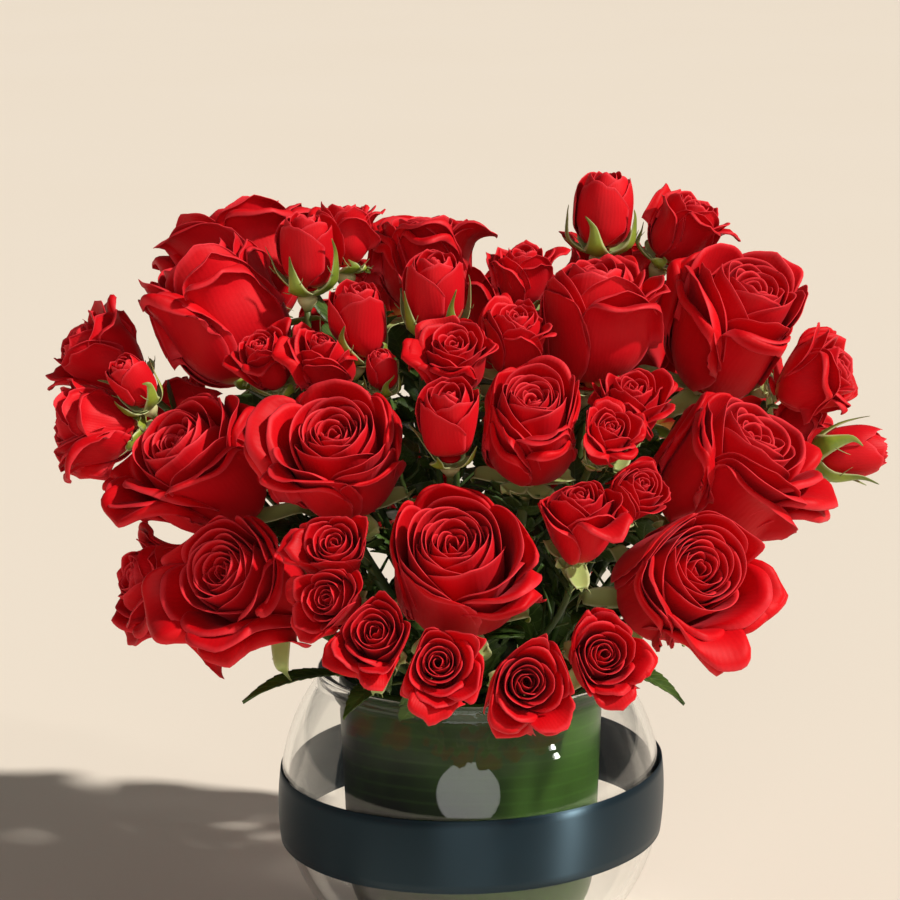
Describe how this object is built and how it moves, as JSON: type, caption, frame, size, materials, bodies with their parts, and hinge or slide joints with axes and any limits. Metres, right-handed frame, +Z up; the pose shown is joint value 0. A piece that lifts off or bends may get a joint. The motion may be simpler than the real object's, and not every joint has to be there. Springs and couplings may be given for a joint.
{
  "type": "roses in a vase",
  "caption": "Bouquet of red garden roses and spray roses in a clear fish-bowl vase, lined with a rolled leaf round floral foam and tied with a dark satin ribbon.",
  "frame": {"origin": "bottom centre of the glass bowl, on its flat resting face", "axes": "+Z up along the bowl's axis, -Y towards the front of the arrangement, +X to its right, along its widest spread"},
  "size_m": [0.4289, 0.3662, 0.4095],
  "materials": {
    "bowl_glass": "clear, polished, with a fire-rounded lip",
    "liner_leaf": "glossy thick leaf with fine veins along its length",
    "foam": "wet, open-celled foam",
    "ribbon_satin": "satin with a fine woven edge",
    "petals": "velvety petal, paler at the back and at the edge",
    "greens": "living green stem, sepal and leaf, satin"
  },
  "bodies": {
    "root": {"glass_bowl": "bowl_glass", "leaf_liner": "liner_leaf", "floral_foam": "foam", "ribbon": "ribbon_satin", "rose_upper_left": "petals", "rose_far_left": "petals", "rose_left": "petals", "rose_left_middle": "petals", "rose_centre": "petals", "rose_upper_right": "petals", "rose_top_right": "petals", "rose_right": "petals", "rose_lower_right": "petals", "rose_front": "petals", "rose_lower_left": "petals", "rose_edge_left": "petals", "rose_top": "petals", "rose_back_right": "petals", "rose_back": "petals", "rose_back_left": "petals", "rose_back_low": "petals", "bud_top_left": "petals", "bud_upper_left": "petals", "bud_top": "petals", "spray_top_right": "petals", "bud_tip": "petals", "spray_tip_right": "petals", "spray_right": "petals", "bud_right": "petals", "spray_far_left": "petals", "spray_side_left": "petals", "bud_centre": "petals", "spray_centre": "petals", "bud_small_left": "petals", "spray_front_right": "petals", "spray_inner_right": "petals", "spray_upper_right": "petals", "spray_beside_right": "petals", "spray_left_inner": "petals", "spray_left_low": "petals", "spray_low_left": "petals", "spray_low_middle": "petals", "spray_low_front": "petals", "spray_low_right": "petals", "bud_dark_left": "petals", "spray_between_left": "petals", "spray_inner_left": "petals", "spray_inner_top": "petals", "spray_top_back": "petals", "spray_behind_right": "petals", "spray_back_top": "petals", "spray_back_middle": "petals", "spray_back_side": "petals", "spray_back_low_left": "petals", "spray_back_low_right": "petals", "stems_middle": "greens", "stems_front": "greens", "stems_back": "greens", "stems_left": "greens", "stems_right": "greens"}
  },
  "joints": []
}
